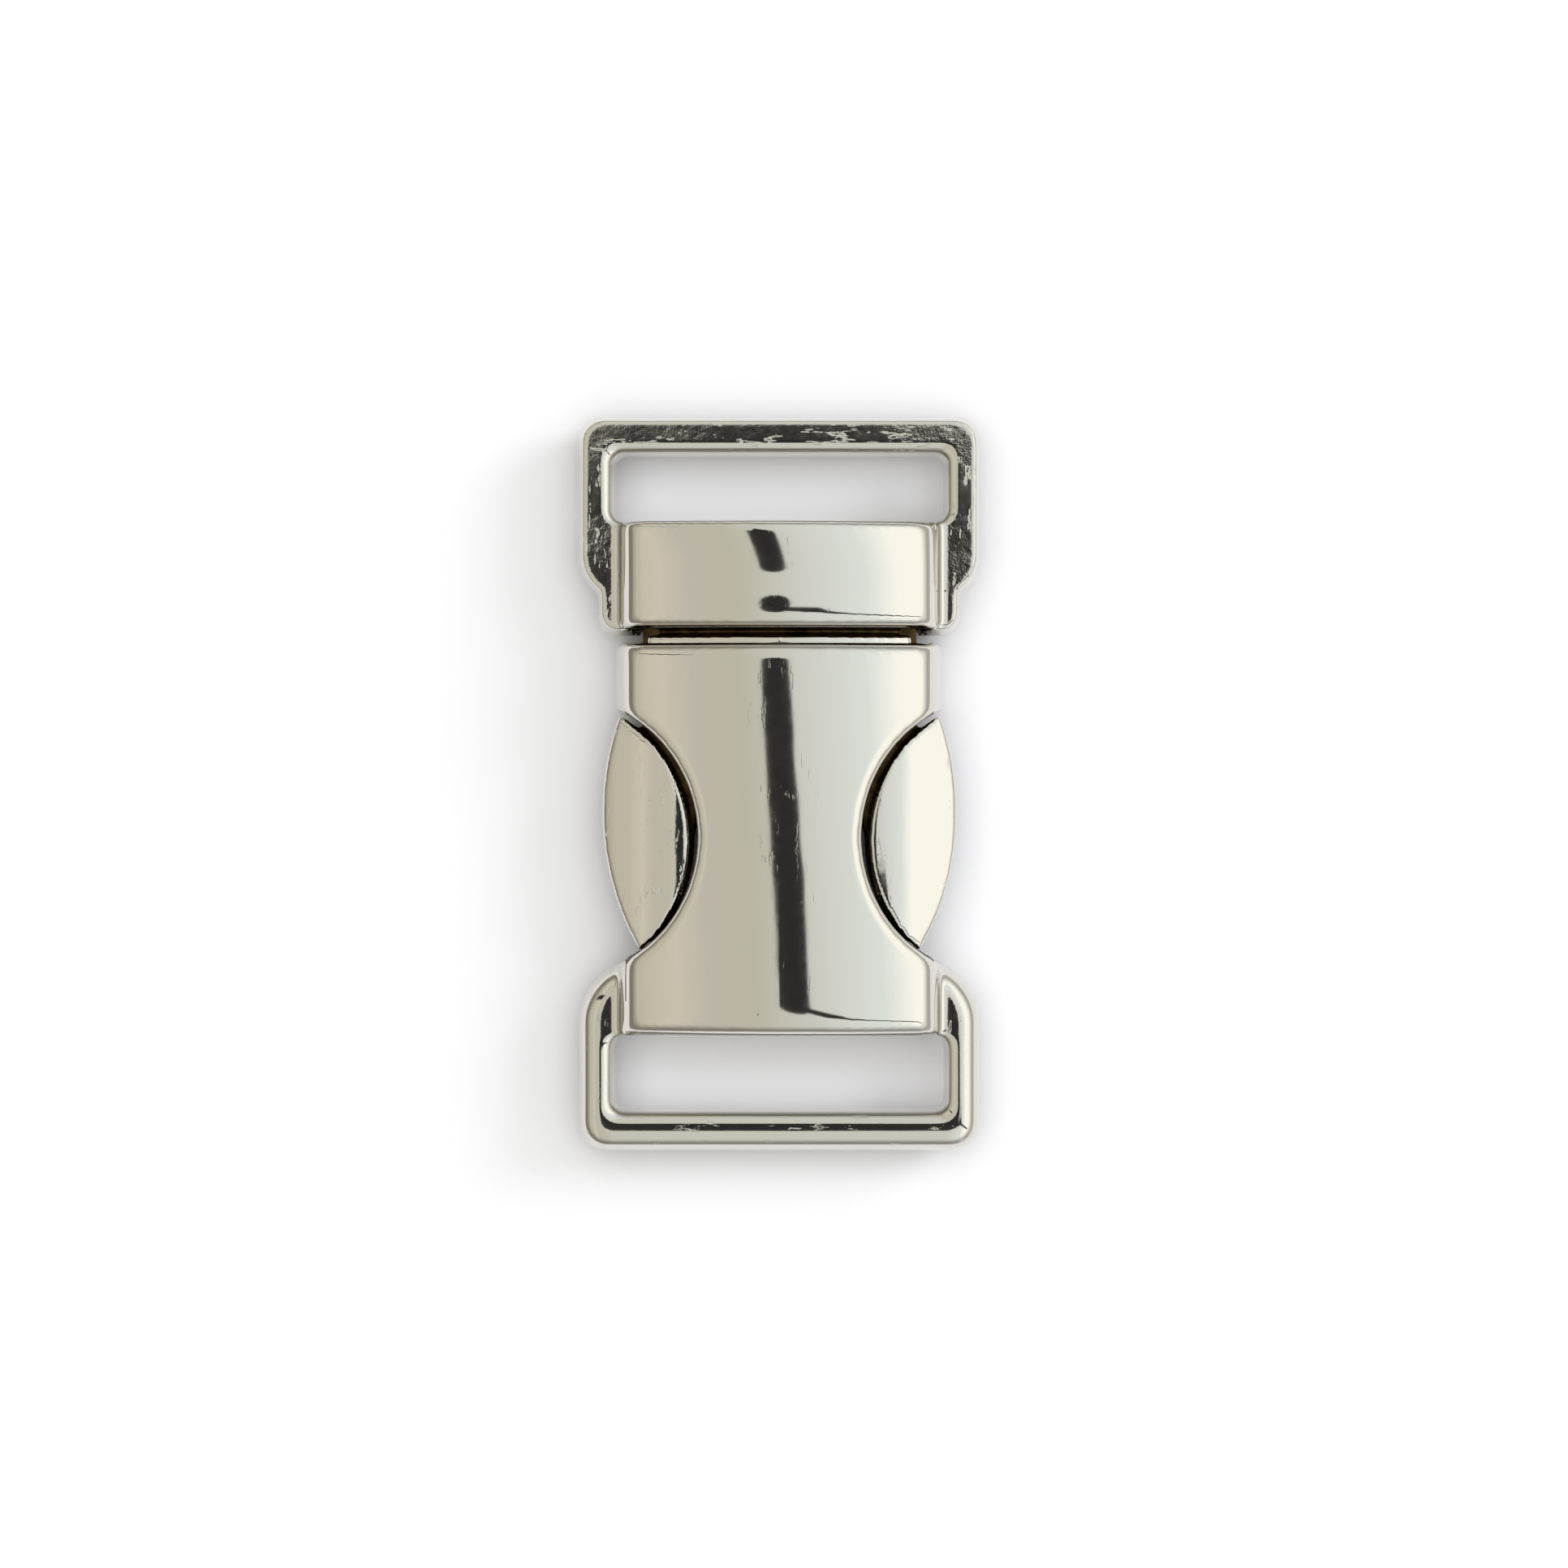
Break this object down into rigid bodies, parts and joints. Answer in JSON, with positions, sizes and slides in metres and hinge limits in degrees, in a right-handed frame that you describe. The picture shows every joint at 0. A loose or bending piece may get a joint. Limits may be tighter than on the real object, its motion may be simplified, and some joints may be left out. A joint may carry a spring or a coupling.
{
  "type": "side-release buckle",
  "caption": "Side-release buckle with a hollow domed socket, a plug with sprung finger-pad arms, and a webbing slot at each end.",
  "frame": {"origin": "under the middle of the closed buckle, on the plane of its flat back", "axes": "+Y along the webbing, from the socket to the plug; +X across the webbing, to the right seen from the front; +Z out of the domed front"},
  "size_m": [0.0252, 0.046, 0.008],
  "materials": {
    "plated_casting": "bright nickel plate on a tumbled zinc casting",
    "pin_steel": "plain drawn steel",
    "spring_steel": "drawn spring wire, oiled"
  },
  "bodies": {
    "socket_half": {"socket_body": "plated_casting"},
    "plug_half": {"plug_frame": "plated_casting", "left_pivot_pin": "pin_steel", "right_pivot_pin": "pin_steel", "left_spring": "spring_steel", "right_spring": "spring_steel"},
    "left_press_arm": {"left_arm": "plated_casting"},
    "right_press_arm": {"right_arm": "plated_casting"}
  },
  "joints": [
    {"name": "plug_play", "type": "slide", "parent": "socket_half", "child": "plug_half", "axis": [0, 1, 0], "range_m": [-0.0001, 0.0002]},
    {"name": "left_arm_press", "type": "hinge", "parent": "plug_half", "child": "left_press_arm", "pos_m": [-0.0062, 0.0128, 0.0035], "axis": [0, 0, 1], "range_deg": [0, 9], "stiffness_Nm_per_rad": 0.1, "springref_deg": -6.88, "deforming": ["left_spring"]},
    {"name": "right_arm_press", "type": "hinge", "parent": "plug_half", "child": "right_press_arm", "pos_m": [0.0062, 0.0128, 0.0035], "axis": [0, 0, -1], "range_deg": [0, 9], "stiffness_Nm_per_rad": 0.1, "springref_deg": -6.88, "deforming": ["right_spring"]}
  ]
}
